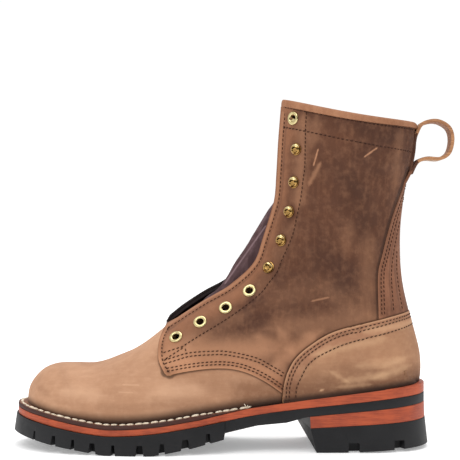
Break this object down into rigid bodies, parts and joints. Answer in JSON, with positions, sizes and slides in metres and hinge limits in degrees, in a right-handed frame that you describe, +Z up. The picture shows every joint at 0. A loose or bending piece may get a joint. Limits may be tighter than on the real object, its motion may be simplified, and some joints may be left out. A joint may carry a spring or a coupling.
{
  "type": "lace-up work boot",
  "caption": "Left lace-up work boot: hollow leather upper with high shaft, lapped quarters, speed hooks, welted lug sole, stacked heel and finger loop.",
  "frame": {"origin": "middle of the boot's box in plan, on the ground under the sole", "axes": "+X from the toe towards the heel, +Z up, -Y the outer side of the foot"},
  "size_m": [0.3288, 0.1154, 0.2581],
  "materials": {
    "vamp_leather": "oiled nubbed tan-brown leather, matt, scuffed",
    "quarter_leather": "oiled red-brown leather, matt, rubbed at the edges",
    "tongue_leather": "dark burgundy soft leather",
    "sole_leather": "stained red-brown edge of stacked sole leather",
    "welt_leather": "dark brown welt strip with pale thread",
    "insole_leather": "undyed leather board",
    "rubber": "black moulded rubber, half matt",
    "brass": "polished brass"
  },
  "bodies": {
    "root": {"upper": "vamp_leather", "counter": "vamp_leather", "quarter_lateral": "quarter_leather", "quarter_medial": "quarter_leather", "backstay": "quarter_leather", "collar_binding": "quarter_leather", "pull_loop": "quarter_leather", "tongue": "tongue_leather", "insole": "insole_leather", "midsole": "sole_leather", "heel_stack": "sole_leather", "welt": "welt_leather", "outsole": "rubber", "heel_lift": "rubber", "eyelet_lateral_1": "brass", "eyelet_lateral_2": "brass", "eyelet_lateral_3": "brass", "eyelet_lateral_4": "brass", "eyelet_lateral_5": "brass", "eyelet_medial_1": "brass", "eyelet_medial_2": "brass", "eyelet_medial_3": "brass", "eyelet_medial_4": "brass", "eyelet_medial_5": "brass", "hook_lateral_1": "brass", "hook_lateral_2": "brass", "hook_lateral_3": "brass", "hook_lateral_4": "brass", "hook_lateral_5": "brass", "hook_medial_1": "brass", "hook_medial_2": "brass", "hook_medial_3": "brass", "hook_medial_4": "brass", "hook_medial_5": "brass"}
  },
  "joints": []
}
